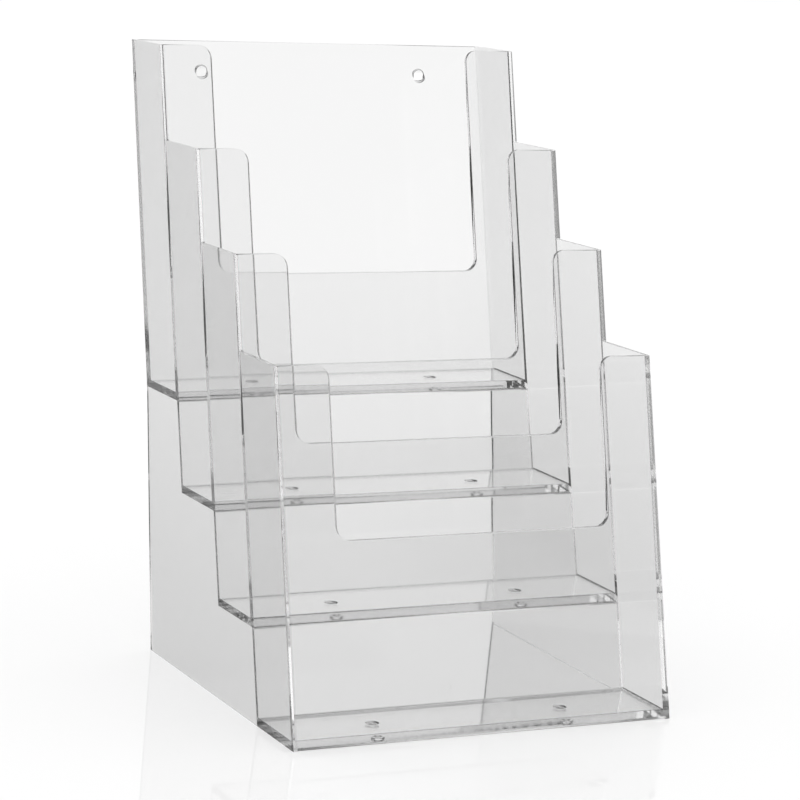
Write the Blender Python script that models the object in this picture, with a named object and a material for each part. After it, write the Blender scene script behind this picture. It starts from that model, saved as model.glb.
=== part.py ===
"""Four-tier brochure rack in clear plastic: two stepped sides, a back, three shared dividers,
a front and four pocket floors, bonded edge to edge.

Metres, +Z up.  The rack stands on z = 0, faces -Y, and is centred on the Z axis.
"""

from math import cos, pi, radians, sin, tan

import bmesh
import bpy

# --- Driving dimensions -------------------------------------------------------------------------

WIDTH = 0.238               # over the outer faces of the two sides
TIERS = 4                   # pockets, numbered from 1 at the back to 4 at the front
TIER_PITCH = 0.0528         # front face to front face, measured level
TIER_RISE = 0.0540          # pocket floor to pocket floor
LEAN = radians(13.0)        # how far the walls lean back from upright
BACK_LEAN = radians(12.15)  # the rear face of the back, which tapers

POCKET_HEIGHT = 0.2075      # underside of a pocket floor to the top of its walls
REAR_POCKET_HEIGHT = 0.2102
REAR_POCKET_DEPTH = 0.0504  # over the walls of pocket 1, at the top

SIDE = 0.0025               # thickness of a side
FLOOR = 0.0043              # thickness of a pocket floor
WALL_TOP = 0.0024           # a wall at its top edge
WALL_ROOT = 0.0048          # a wall where it meets its pocket floor
WALL_BELOW = 0.0028         # a divider below the pocket floor that it carries

BASE_DEPTH = 0.2295         # front bottom corner to the foot of the rear edge

CUTOUT_WIDTH = 0.172
CUTOUT_RADIUS = 0.008
LIP_HEIGHTS = (0.0738, 0.0821, 0.1002, 0.1112)   # above the underside of each pocket's floor

SCREW_HOLE = 0.0076         # holes in the back, for hanging the rack on a wall
SCREW_HOLE_SPACING = 0.150
SCREW_HOLE_DROP = 0.0198    # below the top edge of the back
FLOOR_MARK = 0.0080         # round recesses in the tops of the pocket floors, two in each
FLOOR_MARK_SPACING = 0.120
FLOOR_MARK_INSET = 0.022    # behind the pocket side of the wall in front
FLOOR_MARK_DEPTH = 0.0008

GAP = 0.0003                # bonded faces stand this far apart

# --- Sizes worked out from them -----------------------------------------------------------------

SLOPE = tan(LEAN)
REAR_FLOOR = (TIERS - 1) * TIER_RISE
HEIGHT = REAR_FLOOR + REAR_POCKET_HEIGHT
TOP_DEPTH = (TIERS - 1) * TIER_PITCH + SLOPE * HEIGHT + REAR_POCKET_DEPTH
FRONT = -TOP_DEPTH / 2      # where the front's outer face meets the ground
INNER_HALF = WIDTH / 2 - SIDE - GAP

ARC_STEPS = 8
HOLE_SIDES = 32
DRILL_LENGTH = 0.03


def floor_level(tier):
    return (TIERS - tier) * TIER_RISE


def top_level(tier):
    return HEIGHT if tier == 1 else floor_level(tier) + POCKET_HEIGHT


def wall_front(tier, z):
    """Y of the outer face of the wall in front of a pocket, at height z."""
    return FRONT + (TIERS - tier) * TIER_PITCH + SLOPE * z


def wall_rear(tier, z):
    """Y of the pocket side of that wall, which is thicker at the pocket's floor."""
    low, high = floor_level(tier), top_level(tier)
    share = (z - low) / (high - low)
    return wall_front(tier, z) + WALL_ROOT + share * (WALL_TOP - WALL_ROOT)


def back_rear(z):
    """Y of the rear face of the back."""
    return FRONT + TOP_DEPTH - (HEIGHT - z) * tan(BACK_LEAN)


def back_front(z):
    """Y of the pocket side of the back."""
    return FRONT + TOP_DEPTH - WALL_TOP - (HEIGHT - z) * SLOPE


# --- Modelling helpers --------------------------------------------------------------------------

def material(name, colour, roughness):
    made = bpy.data.materials.new(name)
    made.use_nodes = True
    shader = made.node_tree.nodes["Principled BSDF"]
    shader.inputs["Base Color"].default_value = (*colour, 1.0)
    shader.inputs["Roughness"].default_value = roughness
    shader.inputs["Metallic"].default_value = 0.0
    shader.inputs["Transmission Weight"].default_value = 1.0
    shader.inputs["IOR"].default_value = 1.49
    made.diffuse_color = (*colour, 0.35)
    return made


def prism(name, outline, direction, start, length):
    """A closed solid: an outline of 3-D points at `start` along X, Y or Z, drawn out by `length`."""
    axis = "XYZ".index(direction)
    mesh = bpy.data.meshes.new(name)
    solid = bmesh.new()
    corners = []
    for first, second in outline:
        point = [first, second]
        point.insert(axis, start)
        corners.append(solid.verts.new(point))
    face = solid.faces.new(corners)
    grown = bmesh.ops.extrude_face_region(solid, geom=[face])
    moved = [part for part in grown["geom"] if isinstance(part, bmesh.types.BMVert)]
    travel = [0.0, 0.0, 0.0]
    travel[axis] = length
    bmesh.ops.translate(solid, verts=moved, vec=travel)
    bmesh.ops.recalc_face_normals(solid, faces=solid.faces)
    solid.to_mesh(mesh)
    solid.free()
    made = bpy.data.objects.new(name, mesh)
    bpy.context.scene.collection.objects.link(made)
    return made


def arc(centre, radius, start, end):
    """Points on a round corner, from one angle to another."""
    points = []
    for step in range(ARC_STEPS + 1):
        angle = start + (end - start) * step / ARC_STEPS
        points.append((centre[0] + radius * cos(angle), centre[1] + radius * sin(angle)))
    return points


def cut(target, cutter):
    cutter.hide_render = True
    cutter.display_type = "WIRE"
    modifier = target.modifiers.new("cut", "BOOLEAN")
    modifier.operation = "DIFFERENCE"
    modifier.solver = "EXACT"
    modifier.object = cutter


def drill(target, diameter, centre, lean):
    """Takes a cylinder centred on `centre` out of `target`; its axis is tipped by `lean`."""
    radius = diameter / 2
    circle = []
    for step in range(HOLE_SIDES):
        angle = 2 * pi * step / HOLE_SIDES
        circle.append((radius * cos(angle), radius * sin(angle)))
    cutter = prism(target.name + "_drill", circle, "Z", -DRILL_LENGTH / 2, DRILL_LENGTH)
    cutter.location = centre
    cutter.rotation_euler.x = lean
    cut(target, cutter)


def plastic(target, colour):
    target.data.materials.append(material(target.name + "_plastic", colour, 0.04))
    target.data.shade_flat()


# --- Sub-parts ----------------------------------------------------------------------------------

def side_outline():
    """The side seen from the left, as (y, z): stepped in front, broken at the rear."""
    outline = [(FRONT, 0.0), (FRONT + BASE_DEPTH, 0.0)]
    outline.append((back_rear(REAR_FLOOR), REAR_FLOOR))
    outline.append((back_rear(HEIGHT), HEIGHT))
    for tier in range(1, TIERS + 1):
        top = top_level(tier)
        outline.append((wall_front(tier, top), top))
        if tier < TIERS:
            step = top_level(tier + 1)
            outline.append((wall_front(tier, step), step))
    return outline


def make_side(name, outer_x):
    inner_x = outer_x - SIDE if outer_x > 0 else outer_x
    made = prism(name, side_outline(), "X", inner_x, SIDE)
    plastic(made, (0.93, 0.94, 0.94))


def make_back():
    bottom = REAR_FLOOR
    profile = [
        (back_rear(bottom), bottom),
        (back_rear(HEIGHT), HEIGHT),
        (back_front(HEIGHT), HEIGHT),
        (back_front(bottom), bottom),
    ]
    made = prism("back_panel", profile, "X", -INNER_HALF, 2 * INNER_HALF)
    level = HEIGHT - SCREW_HOLE_DROP
    for side in (-1, 1):
        centre = (side * SCREW_HOLE_SPACING / 2, back_front(level), level)
        drill(made, SCREW_HOLE, centre, pi / 2 - LEAN)
    plastic(made, (0.95, 0.96, 0.96))


def cutout_outline(tier):
    """The U-shaped opening in the wall in front of a pocket, as (x, z), open at the top."""
    top = top_level(tier)
    lip = floor_level(tier) + LIP_HEIGHTS[tier - 1]
    half = CUTOUT_WIDTH / 2
    radius = CUTOUT_RADIUS
    above = top + 0.01
    outline = [(half + radius, above)]
    outline += arc((half + radius, top - radius), radius, pi / 2, pi)
    outline += arc((half - radius, lip + radius), radius, 0.0, -pi / 2)
    outline += arc((radius - half, lip + radius), radius, -pi / 2, -pi)
    outline += arc((-half - radius, top - radius), radius, 0.0, pi / 2)
    outline.append((-half - radius, above))
    return outline


def make_wall(name, tier):
    """The wall in front of a pocket.  A divider also runs down behind the pocket below."""
    floor = floor_level(tier)
    top = top_level(tier)
    profile = [(wall_front(tier, top), top), (wall_rear(tier, top), top)]
    if tier < TIERS:
        bottom = floor_level(tier + 1)
        profile.append((wall_rear(tier, floor), floor))
        profile.append((wall_front(tier, floor) + WALL_BELOW, floor))
        profile.append((wall_front(tier, bottom) + WALL_BELOW, bottom))
        profile.append((wall_front(tier, bottom), bottom))
    else:
        profile.append((wall_rear(tier, floor), floor))
        profile.append((wall_front(tier, floor), floor))
    made = prism(name, profile, "X", -INNER_HALF, 2 * INNER_HALF)
    start = wall_front(tier, floor) - 0.01
    length = wall_rear(tier, top) + 0.01 - start
    cut(made, prism(name + "_cutout", cutout_outline(tier), "Y", start, length))
    plastic(made, (0.94, 0.95, 0.95))


def pocket_rear(tier, z):
    """Y of the face behind a pocket: the back, or the divider of the pocket above."""
    return back_front(z) if tier == 1 else wall_front(tier - 1, z)


def make_floor(tier):
    under = floor_level(tier)
    top = under + FLOOR
    profile = [
        (wall_rear(tier, under) + GAP, under),
        (pocket_rear(tier, under) - GAP, under),
        (pocket_rear(tier, top) - GAP, top),
        (wall_rear(tier, top) + GAP, top),
    ]
    made = prism(f"pocket_floor_{tier}", profile, "X", -INNER_HALF, 2 * INNER_HALF)
    inset = wall_rear(tier, top) + FLOOR_MARK_INSET
    level = top - FLOOR_MARK_DEPTH + DRILL_LENGTH / 2
    for side in (-1, 1):
        drill(made, FLOOR_MARK, (side * FLOOR_MARK_SPACING / 2, inset, level), 0.0)
    plastic(made, (0.92, 0.93, 0.93))


def build():
    for old in list(bpy.data.objects):
        bpy.data.objects.remove(old, do_unlink=True)
    make_side("left_side_panel", -WIDTH / 2)
    make_side("right_side_panel", WIDTH / 2)
    make_back()
    for tier in range(1, TIERS):
        make_wall(f"divider_wall_{tier}", tier)
    make_wall("front_panel", TIERS)
    for tier in range(1, TIERS + 1):
        make_floor(tier)


build()
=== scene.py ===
from math import cos, pi, radians, sin, sqrt, tan

import bmesh
import bpy
from mathutils import Matrix, Vector


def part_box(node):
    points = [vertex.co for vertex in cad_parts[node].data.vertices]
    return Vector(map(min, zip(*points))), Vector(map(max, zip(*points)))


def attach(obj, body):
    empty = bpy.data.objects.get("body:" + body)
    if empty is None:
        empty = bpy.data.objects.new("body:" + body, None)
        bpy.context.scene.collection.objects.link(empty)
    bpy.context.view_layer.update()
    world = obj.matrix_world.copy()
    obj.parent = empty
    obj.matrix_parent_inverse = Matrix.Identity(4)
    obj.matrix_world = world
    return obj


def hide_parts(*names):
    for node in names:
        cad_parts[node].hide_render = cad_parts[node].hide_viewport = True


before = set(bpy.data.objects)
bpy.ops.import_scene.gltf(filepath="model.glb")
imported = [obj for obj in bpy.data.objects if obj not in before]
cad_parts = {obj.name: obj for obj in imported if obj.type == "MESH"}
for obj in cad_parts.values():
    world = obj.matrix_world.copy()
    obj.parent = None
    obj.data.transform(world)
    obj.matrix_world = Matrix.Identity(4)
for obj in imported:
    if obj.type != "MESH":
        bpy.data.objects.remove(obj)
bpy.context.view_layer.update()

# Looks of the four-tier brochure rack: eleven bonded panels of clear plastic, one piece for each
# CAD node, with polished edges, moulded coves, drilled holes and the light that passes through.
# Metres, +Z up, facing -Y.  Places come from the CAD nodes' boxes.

# --- Sizes that the boxes don't give ------------------------------------------------------------

LEAN = radians(13.0)        # the walls lean back from upright
BACK_LEAN = radians(12.15)  # the rear face of the back
SLOPE = tan(LEAN)
WALL_TOP = 0.0024           # a wall at its top edge
WALL_ROOT = 0.0048          # a wall where it meets its pocket floor
WALL_BELOW = 0.0028         # a divider below the pocket floor that it carries
UNDERCUT = 0.0005           # height of the cove under that floor, where the divider thins
UNDERCUT_STEPS = 8
CUTOUT_WIDTH = 0.172
CUTOUT_RADIUS = 0.008
LIP_HEIGHTS = (0.0738, 0.0821, 0.1002, 0.1112)   # above the underside of each pocket's floor
SCREW_HOLE = 0.0076         # holes in the back, for hanging the rack on a wall
SCREW_HOLE_SPACING = 0.150
SCREW_HOLE_DROP = 0.0198    # below the top edge of the back
FLOOR_MARK = 0.0080         # round recesses in the tops of the pocket floors
FLOOR_MARK_SPACING = 0.120
FLOOR_MARK_INSET = 0.022    # behind the pocket side of the wall in front
FLOOR_MARK_DEPTH = 0.0010
DOME = 0.55                 # the dome in such a recess, as a share of its radius
DOME_DROP = 0.15            # the dome's top below the floor, as a share of the recess's depth
GATE = 0.0052               # faint round mark low on the third divider, where the mould was fed
GATE_DEPTH = 0.00015
GATE_LEVEL = 0.0125         # above the ground

COVE = 0.0006               # radius of the moulded corner round each pocket floor
COVE_STEPS = 7
COVE_START = radians(12.0)  # the cove's thin upper edge stops this far short of upright
EDGE = 0.0004               # radius of a polished edge
LEG_EDGE = 0.0009           # radius of a side's rear edges below the back
FOOT_EDGE = 0.0018          # radius of the front's bottom edge
EDGE_STEPS = 4
RIM = 0.0003                # radius of a hole's rim
RIM_STEPS = 4
OUTSIDE = 0.001             # how far a cutter stands out of the panel
CORNER = 0.0007             # radius of a side's corners
CORNER_STEPS = 6
STRAIGHT = radians(160.0)   # a corner that opens wider than this isn't rounded
SHARP = 0.6                 # an edge whose faces turn by less than this, in radians, isn't rounded
LEG_DEPTH = 0.06            # a side's rear edges lie within this in front of the back's foot
ARC_STEPS = 24
HOLE_SIDES = 64
SEAM = 0.00002              # bonded faces stand this far apart
TOUCH = 0.000005            # two places nearer than this are the same
MERGE = 1e-7                # points of one mesh nearer than this are one point
NARROW = 0.0007             # faces narrower than this belong to a rounding
SIDE_FACE, BOND_FACE = 0, 1

BODY = "root"

# --- Places read from the frame -----------------------------------------------------------------

WALLS = ("divider_wall_1", "divider_wall_2", "divider_wall_3", "front_panel")
FLOORS = ("pocket_floor_1", "pocket_floor_2", "pocket_floor_3", "pocket_floor_4")
TIERS = len(WALLS)
wall_boxes = [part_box(name) for name in WALLS]
floor_boxes = [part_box(name) for name in FLOORS]
back_low, back_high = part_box("back_panel")
left_low, left_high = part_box("left_side_panel")
right_low, right_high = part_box("right_side_panel")
INNER_HALF = right_low.x - SEAM
FLOOR = floor_boxes[0][1].z - floor_boxes[0][0].z


def floor_level(tier):
    return floor_boxes[tier - 1][0].z


def top_level(tier):
    return wall_boxes[tier - 1][1].z


def wall_bottom(tier):
    return wall_boxes[tier - 1][0].z


def wall_front(tier, z):
    """Y of the outer face of the wall in front of a pocket."""
    low = wall_boxes[tier - 1][0]
    return low.y + SLOPE * (z - low.z)


def wall_rear(tier, z):
    """Y of the wall's pocket side; a divider thins below its pocket floor through a small cove."""
    low, high = floor_level(tier), top_level(tier)
    if z >= low - TOUCH:
        share = (z - low) / (high - low)
        return wall_front(tier, z) + WALL_ROOT + share * (WALL_TOP - WALL_ROOT)
    down = min(1.0, (low - z) / UNDERCUT)
    bulge = 1.0 - sqrt(1.0 - (1.0 - down) ** 2)
    return wall_front(tier, z) + WALL_BELOW + (WALL_ROOT - WALL_BELOW) * bulge


def back_rear(z):
    """Y of the rear face of the back."""
    return back_high.y - (back_high.z - z) * tan(BACK_LEAN)


def back_front(z):
    """Y of the pocket side of the back."""
    return back_low.y + (z - back_low.z) * SLOPE


def pocket_rear(tier, z):
    """Y of the face behind a pocket: the back, or the divider of the pocket above."""
    return back_front(z) if tier == 1 else wall_front(tier - 1, z)


def side_foot():
    """Y of the foot of a side's rear edge."""
    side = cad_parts["left_side_panel"].data.vertices
    return max(v.co.y for v in side if v.co.z < TOUCH)


# --- Mesh helpers -------------------------------------------------------------------------------

def arc(centre, radius, start, end, steps=ARC_STEPS):
    points = []
    for step in range(steps + 1):
        angle = start + (end - start) * step / steps
        points.append((centre[0] + radius * cos(angle), centre[1] + radius * sin(angle)))
    return points


def rounded(outline, radius):
    """The outline with each corner turned by more than 20 degrees cut to a small arc."""
    points = []
    count = len(outline)
    for index, corner in enumerate(outline):
        here = Vector(corner)
        before = (Vector(outline[index - 1]) - here).normalized()
        after = (Vector(outline[(index + 1) % count]) - here).normalized()
        opening = before.angle(after)
        if opening > STRAIGHT:
            points.append(corner)
            continue
        reach = radius / tan(opening / 2)
        start, end = here + before * reach, here + after * reach
        for step in range(CORNER_STEPS + 1):
            t = step / CORNER_STEPS
            bend = start * (1 - t) ** 2 + here * 2 * t * (1 - t) + end * t ** 2
            points.append(tuple(bend))
    return points


def prism(outline, direction, start, end):
    """A closed solid in a new bmesh: an outline drawn out along X or Y."""
    axis = "XYZ".index(direction)
    solid = bmesh.new()
    near, far = [], []
    for first, second in outline:
        for place, ring in ((start, near), (end, far)):
            point = [first, second]
            point.insert(axis, place)
            ring.append(solid.verts.new(point))
    solid.faces.new(near)
    solid.faces.new(far)
    count = len(outline)
    for index in range(count):
        after = (index + 1) % count
        solid.faces.new((near[index], near[after], far[after], far[index]))
    bmesh.ops.recalc_face_normals(solid, faces=solid.faces)
    return solid


def slice_at(solid, point, normal, faces=None):
    """Cuts faces along a plane without parting the solid."""
    chosen = list(solid.faces) if faces is None else list(faces)
    parts = set(chosen)
    for face in chosen:
        parts.update(face.edges)
        parts.update(face.verts)
    bmesh.ops.bisect_plane(solid, geom=list(parts), dist=MERGE, plane_co=point, plane_no=normal)


def round_edges(solid, wanted, radius=EDGE):
    """Rounds the sharp edges for which wanted(edge) is true."""
    edges = [e for e in solid.edges if e.is_manifold and e.calc_face_angle() > SHARP and wanted(e)]
    bmesh.ops.bevel(
        solid, geom=edges, offset=radius, offset_type="OFFSET", segments=EDGE_STEPS,
        profile=0.5, affect="EDGES", clamp_overlap=True,
    )


def middle(edge):
    return (edge.verts[0].co + edge.verts[1].co) / 2


def lathe(profile):
    """A closed turned solid about Z, from its profile of (radius, height)."""
    solid = bmesh.new()
    rings = []
    for radius, height in profile:
        ring = []
        for side in range(HOLE_SIDES):
            angle = 2 * pi * side / HOLE_SIDES
            ring.append(solid.verts.new((radius * cos(angle), radius * sin(angle), height)))
        rings.append(ring)
    for lower, upper in zip(rings, rings[1:]):
        for side in range(HOLE_SIDES):
            after = (side + 1) % HOLE_SIDES
            solid.faces.new((lower[side], lower[after], upper[after], upper[side]))
    solid.faces.new(rings[0])
    solid.faces.new(rings[-1])
    bmesh.ops.recalc_face_normals(solid, faces=solid.faces)
    return solid


def as_object(solid, name):
    mesh = bpy.data.meshes.new(name)
    solid.to_mesh(mesh)
    solid.free()
    made = bpy.data.objects.new(name, mesh)
    bpy.context.scene.collection.objects.link(made)
    return made


def rim_profile(radius, height, sign):
    """Points of a hole's rim, rounded by RIM, from its narrow end outwards."""
    points = []
    for step in range(RIM_STEPS + 1):
        turn = (1 - step / RIM_STEPS) * pi / 2
        points.append((radius + RIM * (1 - sin(turn)), height - sign * RIM * (1 - cos(turn))))
    return points


def hole_profile(diameter, depth):
    """A hole through a panel from height 0 to `depth`, with rounded rims."""
    radius = diameter / 2
    lower = rim_profile(radius, 0.0, -1)
    upper = rim_profile(radius, depth, 1)
    return [(radius + RIM, -OUTSIDE), *reversed(lower), *upper, (radius + RIM, depth + OUTSIDE)]


def mark_profile(diameter, depth):
    """A shallow round recess down from height 0, whose corner is rounded by half its depth."""
    radius = diameter / 2
    points = []
    for step in range(RIM_STEPS + 1):
        turn = step / RIM_STEPS * pi / 2
        points.append((radius - depth / 2 * (1 - sin(turn)), -depth + depth / 2 * (1 - cos(turn))))
    points.append((radius + RIM * depth, 0.0))
    points.append((radius + RIM * depth, OUTSIDE))
    return points


def domed_profile(diameter, depth):
    """Such a recess with a dome in its middle, as a mould's ejector pin leaves."""
    dome = diameter / 2 * DOME
    points = []
    for step in range(1, 2 * RIM_STEPS + 1):
        turn = step / (2 * RIM_STEPS) * pi / 2
        drop = DOME_DROP + (1 - DOME_DROP) * (1 - cos(turn))
        points.append((dome * sin(turn), -depth * drop))
    return points + mark_profile(diameter, depth)


def drilled(solid, profile, places):
    """The solid with a turned cutter taken out at each matrix in places."""
    target = as_object(solid, "drill_target")
    cutters = []
    for place in places:
        cutter = as_object(lathe(profile), "drill")
        cutter.matrix_world = place
        modifier = target.modifiers.new("drill", "BOOLEAN")
        modifier.operation = "DIFFERENCE"
        modifier.solver = "EXACT"
        modifier.object = cutter
        cutters.append(cutter)
    graph = bpy.context.evaluated_depsgraph_get()
    result = bmesh.new()
    result.from_mesh(target.evaluated_get(graph).to_mesh())
    for used in (target, *cutters):
        mesh = used.data
        bpy.data.objects.remove(used)
        bpy.data.meshes.remove(mesh)
    return result


def finish_piece(solid, node, bonded):
    """Makes the piece that stands for a CAD node; bonded(centre, normal) picks its joint faces."""
    bmesh.ops.dissolve_degenerate(solid, edges=solid.edges, dist=MERGE)
    for face in solid.faces:
        longest = max(edge.calc_length() for edge in face.edges)
        face.smooth = face.calc_area() / longest < NARROW
        hidden = bonded(face.calc_center_median(), face.normal)
        face.material_index = BOND_FACE if hidden else SIDE_FACE
    loose = [e for e in solid.edges if not e.is_manifold]
    if loose:
        print(f"{node}: {len(loose)} open edges")
    piece = as_object(solid, node + "_clear")
    piece.data.materials.append(clear_plastic)
    piece.data.materials.append(bonded_joint)
    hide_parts(node)
    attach(piece, BODY)
    return piece


# --- Materials ----------------------------------------------------------------------------------

REFRACTION = 1.5
POLISHED, HAZY = 0.02, 0.05     # the plastic's roughness
HAZE_SIZE = 38.0                # patches of haze to a metre
BOND_LOSS = 0.055               # the light that each bonded face takes


def new_nodes(owner):
    owner.use_nodes = True
    tree = owner.node_tree
    tree.nodes.clear()
    return tree


def node(tree, kind, **settings):
    made = tree.nodes.new(kind)
    for key, value in settings.items():
        setattr(made, key, value)
    return made


def make_clear_plastic():
    """Polished clear plastic with faint patches of haze."""
    made = bpy.data.materials.new("clear_plastic")
    tree = new_nodes(made)
    output = node(tree, "ShaderNodeOutputMaterial")
    shader = node(tree, "ShaderNodeBsdfPrincipled")
    shader.inputs["Base Color"].default_value = (1.0, 1.0, 1.0, 1.0)
    shader.inputs["Transmission Weight"].default_value = 1.0
    shader.inputs["IOR"].default_value = REFRACTION
    tree.links.new(shader.outputs["BSDF"], output.inputs["Surface"])
    place = node(tree, "ShaderNodeTexCoord")
    haze = node(tree, "ShaderNodeTexNoise")
    haze.inputs["Scale"].default_value = HAZE_SIZE
    haze.inputs["Detail"].default_value = 5.0
    tree.links.new(place.outputs["Object"], haze.inputs["Vector"])
    level = node(tree, "ShaderNodeMapRange")
    level.inputs["From Min"].default_value = 0.35
    level.inputs["From Max"].default_value = 0.75
    level.inputs["To Min"].default_value = POLISHED
    level.inputs["To Max"].default_value = HAZY
    tree.links.new(haze.outputs["Fac"], level.inputs["Value"])
    tree.links.new(level.outputs["Result"], shader.inputs["Roughness"])
    return made


def make_bonded_joint():
    """Bonded faces have no air between them, so light passes straight on; each takes a little,
    which is the plastic's own grey along the length of a panel."""
    made = bpy.data.materials.new("bonded_joint")
    tree = new_nodes(made)
    output = node(tree, "ShaderNodeOutputMaterial")
    shader = node(tree, "ShaderNodeBsdfPrincipled")
    shader.inputs["Base Color"].default_value = (0.0, 0.0, 0.0, 1.0)
    shader.inputs["Specular IOR Level"].default_value = 0.0
    shader.inputs["Alpha"].default_value = BOND_LOSS
    tree.links.new(shader.outputs["BSDF"], output.inputs["Surface"])
    return made


clear_plastic = make_clear_plastic()
bonded_joint = make_bonded_joint()


# --- Pieces -------------------------------------------------------------------------------------

def between(value, low, high):
    return low - TOUCH < value < high + TOUCH


def cove_top(tier):
    """Height of the upper edge of the cove round a pocket floor."""
    return floor_level(tier) + FLOOR + COVE * (1 - sin(COVE_START))


def wall_outline(tier):
    """A wall seen from the front, as (x, z), with its U-shaped cut-out."""
    top, bottom = top_level(tier), wall_bottom(tier)
    lip = floor_level(tier) + LIP_HEIGHTS[tier - 1]
    half, radius = CUTOUT_WIDTH / 2, CUTOUT_RADIUS
    outline = [(-INNER_HALF, bottom), (INNER_HALF, bottom), (INNER_HALF, top)]
    outline += arc((half + radius, top - radius), radius, pi / 2, pi)
    outline += arc((half - radius, lip + radius), radius, 0.0, -pi / 2)
    outline += arc((radius - half, lip + radius), radius, -pi / 2, -pi)
    outline += arc((-half - radius, top - radius), radius, 0.0, pi / 2)
    outline.append((-INNER_HALF, top))
    return outline


def make_wall(tier):
    """The wall in front of a pocket.  A divider also runs down behind the pocket below."""
    floor, bottom = floor_level(tier), wall_bottom(tier)
    divides = bottom < floor - TOUCH
    solid = prism(wall_outline(tier), "Y", 0.0, 1.0)
    levels = [cove_top(tier)]
    if divides:
        levels.append(cove_top(tier + 1))
        for step in range(UNDERCUT_STEPS + 1):
            levels.append(floor - UNDERCUT * (1 - cos(step / UNDERCUT_STEPS * pi / 2)))
    for level in levels:
        slice_at(solid, (0, 0, level), (0, 0, 1))
    for vert in solid.verts:
        shape = wall_rear if vert.co.y > 0.5 else wall_front
        vert.co.y = shape(tier, vert.co.z)
    bmesh.ops.recalc_face_normals(solid, faces=solid.faces)

    def exposed(edge):
        at = middle(edge)
        if abs(at.x) > INNER_HALF - TOUCH:
            return False
        outer = max(abs(face.normal.y) for face in edge.link_faces) > 0.9
        if at.z > floor + FLOOR + COVE:
            return outer
        return outer and divides and abs(at.z - bottom) < TOUCH and at.y > wall_front(tier, at.z)

    def front_foot(edge):
        at = middle(edge)
        before = abs(at.y - wall_front(tier, at.z)) < TOUCH
        return before and not divides and abs(at.x) < TOUCH and abs(at.z - bottom) < TOUCH

    round_edges(solid, exposed)
    round_edges(solid, front_foot, FOOT_EDGE)
    if tier == TIERS - 1:
        spot = (0.0, wall_front(tier, GATE_LEVEL), GATE_LEVEL)
        turned = Matrix.Rotation(pi / 2 - LEAN, 4, "X")
        place = Matrix.Translation(spot) @ turned
        solid = drilled(solid, mark_profile(GATE, GATE_DEPTH), [place])

    def bonded(centre, normal):
        if abs(normal.x) > 0.9 and abs(centre.x) > INNER_HALF - TOUCH:
            return True
        if normal.y > 0.9:
            return between(centre.z, floor, cove_top(tier))
        if normal.y < -0.9 and divides:
            return between(centre.z, bottom, cove_top(tier + 1))
        return False

    return finish_piece(solid, WALLS[tier - 1], bonded)


def cove_profile():
    """(distance from the wall, height over the floor) along the moulded corner."""
    profile = [(0.0, COVE * (1 - sin(COVE_START)))]
    for step in range(COVE_STEPS + 1):
        angle = COVE_START + (pi / 2 - COVE_START) * step / COVE_STEPS
        profile.append((COVE * (1 - cos(angle)), COVE * (1 - sin(angle))))
    return profile


def make_floor(tier):
    """A pocket floor: flat below, with a cove turning up to the walls all round above."""
    under = floor_level(tier)
    top = under + FLOOR
    cove = cove_profile()
    count = 2 * len(cove)
    solid = bmesh.new()

    def reach(index):
        """(distance from the nearer wall, height, near or far) of a grid line."""
        if index < len(cove):
            return (*cove[index], True)
        return (*cove[count - 1 - index], False)

    def front_y(z):
        return wall_rear(tier, z) + SEAM

    def rear_y(z):
        return pocket_rear(tier, z) - SEAM

    grid = []
    for row in range(count):
        away_y, rise_y, in_front = reach(row)
        line = []
        for column in range(count):
            away_x, rise_x, on_left = reach(column)
            z = top + max(rise_x, rise_y)
            x = away_x - INNER_HALF if on_left else INNER_HALF - away_x
            y = front_y(z) + away_y if in_front else rear_y(z) - away_y
            line.append(solid.verts.new((x, y, z)))
        grid.append(line)
    for row in range(count - 1):
        for column in range(count - 1):
            solid.faces.new((
                grid[row][column], grid[row][column + 1],
                grid[row + 1][column + 1], grid[row + 1][column],
            ))
    feet = []
    for x, y in ((-1, front_y), (1, front_y), (1, rear_y), (-1, rear_y)):
        feet.append(solid.verts.new((x * INNER_HALF, y(under), under)))
    left = [line[0] for line in grid]
    right = [line[-1] for line in grid]
    solid.faces.new(feet)
    solid.faces.new([feet[0], feet[1], *reversed(grid[0])])
    solid.faces.new([feet[1], feet[2], *reversed(right)])
    solid.faces.new([feet[2], feet[3], *grid[-1]])
    solid.faces.new([feet[3], feet[0], *left])
    bmesh.ops.recalc_face_normals(solid, faces=solid.faces)
    inset = wall_rear(tier, top) + FLOOR_MARK_INSET
    places = []
    for side in (-1, 1):
        places.append(Matrix.Translation((side * FLOOR_MARK_SPACING / 2, inset, top)))
    solid = drilled(solid, domed_profile(FLOOR_MARK, FLOOR_MARK_DEPTH), places)

    def bonded(centre, normal):
        if abs(centre.x) > INNER_HALF - TOUCH:
            return abs(normal.x) > 0.9
        if abs(normal.y) < 0.9:
            return False
        at_front = abs(centre.y - front_y(centre.z)) < TOUCH
        return at_front or abs(centre.y - rear_y(centre.z)) < TOUCH

    return finish_piece(solid, FLOORS[tier - 1], bonded)


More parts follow.
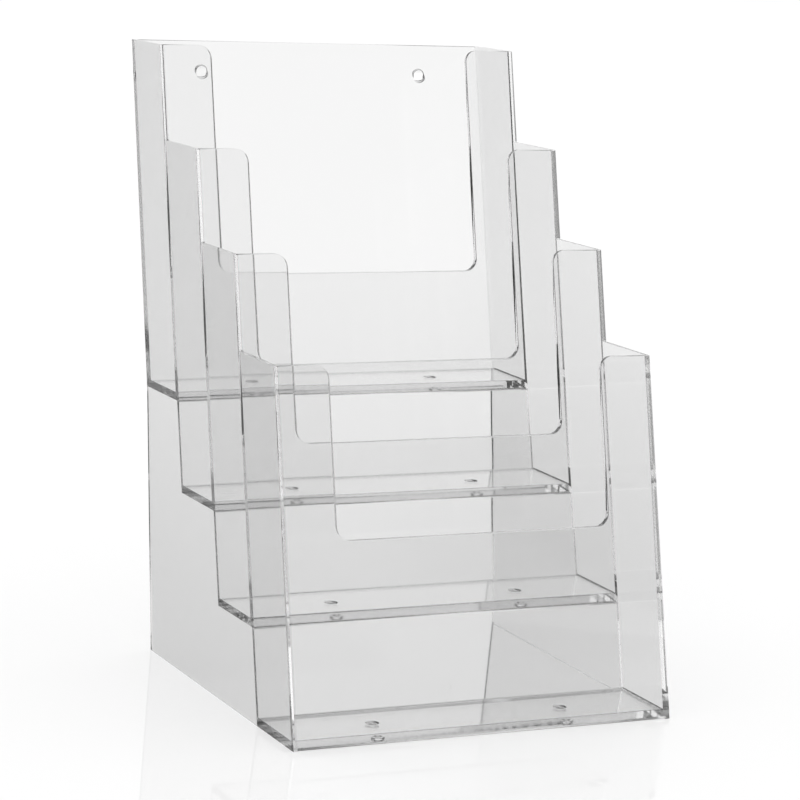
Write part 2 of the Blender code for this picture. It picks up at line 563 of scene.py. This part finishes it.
def make_back():
    """The back, whose bottom meets the highest pocket floor, with its two screw holes."""
    bottom, top = back_low.z, back_high.z
    profile = [
        (back_rear(bottom), bottom),
        (back_rear(top), top),
        (back_front(top), top),
        (back_front(cove_top(1)), cove_top(1)),
        (back_front(bottom), bottom),
    ]
    solid = prism(profile, "X", -INNER_HALF, INNER_HALF)

    def exposed(edge):
        at = middle(edge)
        if abs(at.x) > INNER_HALF - TOUCH:
            return False
        return at.z > top - TOUCH or (at.z < bottom + TOUCH and at.y > back_rear(bottom) - TOUCH)

    round_edges(solid, exposed)
    level = top - SCREW_HOLE_DROP
    depth = (back_rear(level) - back_front(level)) * cos(LEAN)
    places = []
    for side in (-1, 1):
        spot = (side * SCREW_HOLE_SPACING / 2, back_front(level), level)
        turned = Matrix.Rotation(LEAN - pi / 2, 4, "X")
        places.append(Matrix.Translation(spot) @ turned)
    solid = drilled(solid, hole_profile(SCREW_HOLE, depth), places)

    def bonded(centre, normal):
        if abs(centre.x) > INNER_HALF - TOUCH:
            return abs(normal.x) > 0.9
        return normal.y < -0.9 and between(centre.z, bottom, cove_top(1))

    return finish_piece(solid, "back_panel", bonded)


def side_outline():
    """A side seen from the left, as (y, z): stepped in front, broken at the rear."""
    outline = [(wall_front(TIERS, 0.0), 0.0), (side_foot(), 0.0)]
    outline.append((back_rear(back_low.z), back_low.z))
    outline.append((back_rear(back_high.z), back_high.z))
    for tier in range(1, TIERS + 1):
        top = top_level(tier)
        outline.append((wall_front(tier, top), top))
        if tier < TIERS:
            step = top_level(tier + 1)
            outline.append((wall_front(tier, step), step))
    return outline


def make_side(name, outer, inner):
    """One side, between its outer and inner faces' X."""
    solid = prism(rounded(side_outline(), CORNER), "X", inner, outer)
    tops = [top_level(tier) for tier in range(1, TIERS + 1)]
    leg_top = back_low.z

    def leg(edge):
        ends = [vert.co.z for vert in edge.verts]
        at_rear = middle(edge).y > back_rear(leg_top) - LEG_DEPTH
        return at_rear and max(ends) < leg_top + CORNER and max(ends) - min(ends) > leg_top / 2

    def exposed(edge):
        at = middle(edge)
        if abs(edge.verts[0].co.x - edge.verts[1].co.x) > TOUCH or at.z < CORNER or leg(edge):
            return False
        return abs(at.x - outer) < TOUCH or any(abs(at.z - top) < TOUCH for top in tops)

    round_edges(solid, exposed)
    round_edges(solid, leg, LEG_EDGE)

    def slice_inner(point, normal):
        faces = [f for f in solid.faces if abs(f.calc_center_median().x - inner) < TOUCH]
        slice_at(solid, point, normal, faces)

    def slice_along(low, high):
        """Cuts the inner face along the line through two (y, z)."""
        slice_inner((0, *low), (0, low[1] - high[1], high[0] - low[0]))

    leaning = (0, -cos(LEAN), sin(LEAN))
    for tier in range(1, TIERS + 1):
        bottom, under, top = wall_bottom(tier), floor_level(tier), top_level(tier)
        slice_inner((inner, 0, under), (0, 0, 1))
        slice_inner((inner, 0, cove_top(tier)), (0, 0, 1))
        if under - bottom > TOUCH:
            foot = wall_front(tier, bottom) + WALL_BELOW
            slice_along((foot, bottom), (wall_front(tier, under) + WALL_BELOW, under))
        slice_along((wall_rear(tier, under), under), (wall_rear(tier, top), top))
        slice_inner((0, wall_front(tier, under), under), leaning)
    slice_inner((0, back_front(leg_top), leg_top), leaning)

    def bonded(centre, normal):
        if abs(normal.x) < 0.9 or abs(centre.x - inner) > TOUCH:
            return False
        y, z = centre.y, centre.z
        if z > leg_top and y > back_front(z):
            return True
        for tier in range(1, TIERS + 1):
            if not between(z, wall_bottom(tier), top_level(tier)):
                continue
            if between(y, wall_front(tier, z), wall_rear(tier, z)):
                return True
            on_floor = between(z, floor_level(tier), cove_top(tier))
            if on_floor and between(y, wall_rear(tier, z), pocket_rear(tier, z)):
                return True
        return False

    return finish_piece(solid, name, bonded)


make_side("left_side_panel", left_low.x, left_high.x)
make_side("right_side_panel", right_high.x, right_low.x)
make_back()
for number in range(1, TIERS + 1):
    make_wall(number)
    make_floor(number)

# --- Stage, light and camera --------------------------------------------------------------------

BACKDROP = Vector((0.425, 0.905, 0.0))      # level directions from the rack
DARK_SIDE = Vector((0.43, -0.903, 0.0))
BEHIND = Vector((0.0, 1.0, 0.0))
# LEFT_SHADE and RIGHT_SHADE point to the painted shade on the table, left and right of the rack
LEFT_SHADE = Vector((-0.5, 0.866, 0.0))
RIGHT_SHADE = Vector((0.90, 0.436, 0.0))

DIM = 0.13                  # the room round the white backdrop, as the rack's faces mirror it
DARK = 0.0                  # the dark side of the room, in front and to the right
WHITE_LOW, WHITE_HIGH = 1.0, 0.86   # the backdrop at the table and further up
OVERHEAD = 0.30             # the ceiling, as the rack's faces mirror it
FLAG = 0.05                 # black flags beside the backdrop, as the plastic's edges bend them in
PIPED = 1.1                 # what light led a long way inside a panel finds behind the rack
PIPED_DARK = 0.03           # and what it finds in front
LONG_WAY = 5.5              # faces that mirror such light inside the panel, at least

TABLE_RADIUS = 14.0
TABLE_DROP = 0.0001         # below the rack's lowest faces
TABLE_GREY = 0.3
TABLE_GLOW = 0.72
TABLE_WHITE = 0.9           # painted reflection: the table before the backdrop, as the rack's faces mirror it
TABLE_FAR = 0.05            # painted reflection: the rest of the table, far off, mirrored in the same way
PAINTED_SHADE_UNDER = 0.03           # painted shade that the table loses under the rack, as seen through the plastic
PAINTED_SHADE_LEFT = 0.09            # and the painted shade it loses to the left of the rack
PAINTED_SHADE_RIGHT = 0.28           # and the painted shade to the right
FLAG_SPREAD = 0.12          # how fast the flags' painted images on the table move apart
MIRROR = 0.14               # how much of the table's light is its mirror image of the rack
MIRROR_INSIDE = 0.8         # the same under the rack, where the plastic keeps other light off

CAMERA_PLACE = (-0.73705, -1.57972, 0.46509)
CAMERA_AZIMUTH = radians(-25.176)
CAMERA_PITCH = radians(9.685)
CAMERA_ROLL = radians(2.5055)
CAMERA_LENS = 132.16        # mm, on a sensor 36 mm wide


def value_of(tree, operation, *inputs, clamp=False):
    """A maths node on sockets and plain numbers; gives its result's socket."""
    made = node(tree, "ShaderNodeMath", operation=operation, use_clamp=clamp)
    for socket, value in zip(made.inputs, inputs):
        if isinstance(value, float):
            socket.default_value = value
        else:
            tree.links.new(value, socket)
    return made.outputs[0]


def ramp(tree, value, low, high, start=0.0, end=1.0):
    """start below low, end above high, and smooth in between."""
    made = node(tree, "ShaderNodeMapRange", interpolation_type="SMOOTHSTEP")
    for name, number in (("From Min", low), ("From Max", high), ("To Min", start), ("To Max", end)):
        if isinstance(number, float):
            made.inputs[name].default_value = number
        else:
            tree.links.new(number, made.inputs[name])
    tree.links.new(value, made.inputs["Value"])
    return made.outputs["Result"]


def blend_of(tree, share, first, second):
    """first where share is 0, second where it is 1."""
    made = node(tree, "ShaderNodeMix", data_type="FLOAT")
    for socket, value in zip(made.inputs[:1] + made.inputs[2:4], (share, first, second)):
        if isinstance(value, float):
            socket.default_value = value
        else:
            tree.links.new(value, socket)
    return made.outputs[0]


def facing(tree, vector, towards, outer, inner):
    """1 within `inner` degrees of a level direction, falling to 0 at `outer` degrees."""
    level = node(tree, "ShaderNodeVectorMath", operation="MULTIPLY")
    level.inputs[1].default_value = (1.0, 1.0, 0.0)
    tree.links.new(vector, level.inputs[0])
    unit = node(tree, "ShaderNodeVectorMath", operation="NORMALIZE")
    tree.links.new(level.outputs[0], unit.inputs[0])
    dot = node(tree, "ShaderNodeVectorMath", operation="DOT_PRODUCT")
    dot.inputs[1].default_value = towards
    tree.links.new(unit.outputs[0], dot.inputs[0])
    return ramp(tree, dot.outputs["Value"], cos(radians(outer)), cos(radians(inner)))


def bounced(tree):
    """A socket that is 1 for light that some face of the rack has mirrored, and else 0.
    The table's own mirror image of the white backdrop doesn't count."""
    path = node(tree, "ShaderNodeLightPath")
    mirrored = value_of(tree, "GREATER_THAN", path.outputs["Glossy Depth"], 0.5)
    singular, reflected = path.outputs["Is Singular Ray"], path.outputs["Is Reflection Ray"]
    plain = value_of(tree, "MULTIPLY", singular, reflected)
    return value_of(tree, "SUBTRACT", mirrored, plain, clamp=True)


def piped(tree):
    """A socket that is 1 for light led along inside a panel, from face to face."""
    path = node(tree, "ShaderNodeLightPath")
    return value_of(tree, "GREATER_THAN", path.outputs["Glossy Depth"], LONG_WAY)


def piped_light(tree, vector):
    """What such light finds where it leaves: white behind the rack, and nearly black in front."""
    return blend_of(tree, facing(tree, vector, BEHIND, 75.0, 55.0), PIPED_DARK, PIPED)


def seen_through(tree):
    """A socket that is 1 for what is seen through the plastic, and else 0."""
    path = node(tree, "ShaderNodeLightPath")
    return value_of(tree, "GREATER_THAN", path.outputs["Transmission Depth"], 0.5)


def flag_sector(tree, vector):
    """1 in the directions that hold the backdrop and the flags beside it, and else 0."""
    return facing(tree, vector, BACKDROP, 64.0, 50.0)


def distance_along(tree, place, direction):
    """How far a place on the table is from the rack's middle, along a level direction."""
    dot = node(tree, "ShaderNodeVectorMath", operation="DOT_PRODUCT")
    dot.inputs[1].default_value = direction
    tree.links.new(place, dot.inputs[0])
    return dot.outputs["Value"]


def painted_shade_to(tree, place, direction, outer, inner, loss):
    """A painted shade on one side of the table, full within `inner` degrees of a direction."""
    return value_of(tree, "MULTIPLY", facing(tree, place, direction, outer, inner), loss)


def painted_table_shade(tree, place, away):
    """Painted shade that the table loses as seen through the plastic: a little under the rack, more
    to its left and right, and nearly all beyond two lines where the black flags' reflection is
    painted."""
    left = painted_shade_to(tree, place, LEFT_SHADE, 65.0, 40.0, PAINTED_SHADE_LEFT)
    left = value_of(tree, "MULTIPLY", left, ramp(tree, away, 1.2, 0.3))
    right = painted_shade_to(tree, place, RIGHT_SHADE, 46.0, 20.0, PAINTED_SHADE_RIGHT)
    right = value_of(tree, "MULTIPLY", right, ramp(tree, away, 0.07, 0.3))
    right = value_of(tree, "MULTIPLY", right, ramp(tree, away, 2.2, 0.3))
    deep = ramp(tree, away, 0.1, 0.9, PAINTED_SHADE_UNDER, 0.0)
    deep = value_of(tree, "ADD", value_of(tree, "ADD", deep, left), right)
    # painted reflection of the black flags: the table goes nearly black beyond two lines that widen
    square = (BACKDROP.y, -BACKDROP.x, 0.0)
    sideways = value_of(tree, "ABSOLUTE", distance_along(tree, place, square))
    along = distance_along(tree, place, BACKDROP)
    widening = value_of(tree, "MULTIPLY", along, FLAG_SPREAD)
    flagged = ramp(tree, value_of(tree, "SUBTRACT", sideways, widening), 0.22, 0.36)
    flagged = value_of(tree, "MULTIPLY", flagged, TABLE_GLOW * (1.0 - FLAG))
    flagged = value_of(tree, "MULTIPLY", flagged, flag_sector(tree, place))
    return value_of(tree, "MAXIMUM", deep, flagged)


def make_table_material():
    """A glossy white table, lit from below, that mirrors the rack faintly.  Its glow carries
    painted shade where it is seen through the plastic and painted reflections where the rack's
    faces mirror it.
    """
    made = bpy.data.materials.new("white_table")
    tree = new_nodes(made)
    output = node(tree, "ShaderNodeOutputMaterial")
    body = node(tree, "ShaderNodeBsdfPrincipled")
    body.inputs["Base Color"].default_value = (TABLE_GREY, TABLE_GREY, TABLE_GREY, 1.0)
    body.inputs["Roughness"].default_value = 0.7
    body.inputs["Specular IOR Level"].default_value = 0.0
    body.inputs["Emission Color"].default_value = (1.0, 1.0, 1.0, 1.0)
    place = node(tree, "ShaderNodeTexCoord").outputs["Object"]
    length = node(tree, "ShaderNodeVectorMath", operation="LENGTH")
    tree.links.new(place, length.inputs[0])
    away = length.outputs["Value"]
    # painted reflection: the rack's faces mirror a table painted white before the backdrop, dark
    # elsewhere
    far = ramp(tree, away, 0.15, 1.6, 0.0, TABLE_FAR)
    mirrored = blend_of(tree, facing(tree, place, BACKDROP, 34.0, 20.0), far, TABLE_WHITE)
    mirrored = blend_of(tree, piped(tree), mirrored, piped_light(tree, place))
    through = seen_through(tree)
    # painted shade on the table, only where it is seen through the plastic
    shade = value_of(tree, "MULTIPLY", through, painted_table_shade(tree, place, away))
    glow = value_of(tree, "SUBTRACT", TABLE_GLOW, shade)
    strength = blend_of(tree, bounced(tree), glow, mirrored)
    tree.links.new(strength, body.inputs["Emission Strength"])
    mirror = node(tree, "ShaderNodeBsdfGlossy")
    mirror.inputs["Color"].default_value = (1.0, 1.0, 1.0, 1.0)
    mirror.inputs["Roughness"].default_value = 0.0
    blend = node(tree, "ShaderNodeMixShader")
    share = blend_of(tree, through, MIRROR, MIRROR_INSIDE)
    tree.links.new(share, blend.inputs["Fac"])
    tree.links.new(body.outputs["BSDF"], blend.inputs[1])
    tree.links.new(mirror.outputs["BSDF"], blend.inputs[2])
    tree.links.new(blend.outputs["Shader"], output.inputs["Surface"])
    return made


def make_stage():
    bpy.ops.mesh.primitive_circle_add(vertices=128, radius=TABLE_RADIUS, fill_type="NGON")
    table = bpy.context.object
    table.name = "table_top"
    table.location.z = -TABLE_DROP
    table.data.materials.append(make_table_material())


def make_world():
    """White all round as seen directly.  The rack's faces mirror a room that is white only behind
    it and darkest in front to the right.  Through the plastic it is white but for the two flags."""
    world = bpy.data.worlds.new("studio")
    bpy.context.scene.world = world
    tree = new_nodes(world)
    output = node(tree, "ShaderNodeOutputWorld")
    backdrop = node(tree, "ShaderNodeBackground")
    way = node(tree, "ShaderNodeTexCoord").outputs["Generated"]
    room = blend_of(tree, facing(tree, way, DARK_SIDE, 45.0, 22.0), DIM, DARK)
    height = node(tree, "ShaderNodeSeparateXYZ")
    tree.links.new(way, height.inputs[0])
    white = ramp(tree, height.outputs["Z"], 0.12, 0.26, WHITE_LOW, WHITE_HIGH)
    room = blend_of(tree, facing(tree, way, BACKDROP, 34.0, 20.0), room, white)
    overhead = ramp(tree, height.outputs["Z"], 0.35, 0.75, 0.0, OVERHEAD)
    room = value_of(tree, "MAXIMUM", room, overhead)
    room = blend_of(tree, piped(tree), room, piped_light(tree, way))
    diffuse = node(tree, "ShaderNodeLightPath").outputs["Is Diffuse Ray"]
    through = value_of(tree, "SUBTRACT", seen_through(tree), diffuse, clamp=True)
    flags = value_of(
        tree, "SUBTRACT", flag_sector(tree, way), facing(tree, way, BACKDROP, 26.0, 12.0)
    )
    ahead = blend_of(tree, flags, white, FLAG)
    ahead = value_of(tree, "MAXIMUM", ahead, overhead)
    level = blend_of(tree, bounced(tree), blend_of(tree, through, 1.0, ahead), room)
    tree.links.new(level, backdrop.inputs["Strength"])
    backdrop.inputs["Color"].default_value = (1.0, 1.0, 1.0, 1.0)
    tree.links.new(backdrop.outputs["Background"], output.inputs["Surface"])
    world.cycles.sampling_method = "NONE"


def make_camera():
    """A long lens, from the rack's left and a little above, held slightly out of level."""
    level = cos(CAMERA_PITCH)
    ahead = Vector((-sin(CAMERA_AZIMUTH) * level, cos(CAMERA_AZIMUTH) * level, -sin(CAMERA_PITCH)))
    right = ahead.cross(Vector((0, 0, 1))).normalized()
    up = right.cross(ahead)
    across = right * cos(CAMERA_ROLL) + up * sin(CAMERA_ROLL)
    upright = up * cos(CAMERA_ROLL) - right * sin(CAMERA_ROLL)
    camera = bpy.data.objects.new("camera", bpy.data.cameras.new("camera"))
    bpy.context.scene.collection.objects.link(camera)
    camera.data.sensor_width = 36.0
    camera.data.lens = CAMERA_LENS
    camera.data.clip_end = 60.0
    turn = Matrix((across, upright, -ahead)).transposed().to_4x4()
    camera.matrix_world = Matrix.Translation(CAMERA_PLACE) @ turn
    bpy.context.scene.camera = camera


make_stage()
make_world()
make_camera()

scene = bpy.context.scene
scene.view_settings.view_transform = "Standard"
scene.cycles.max_bounces = 200
scene.cycles.glossy_bounces = 160
scene.cycles.transmission_bounces = 96
scene.cycles.transparent_max_bounces = 160
scene.cycles.use_denoising = True
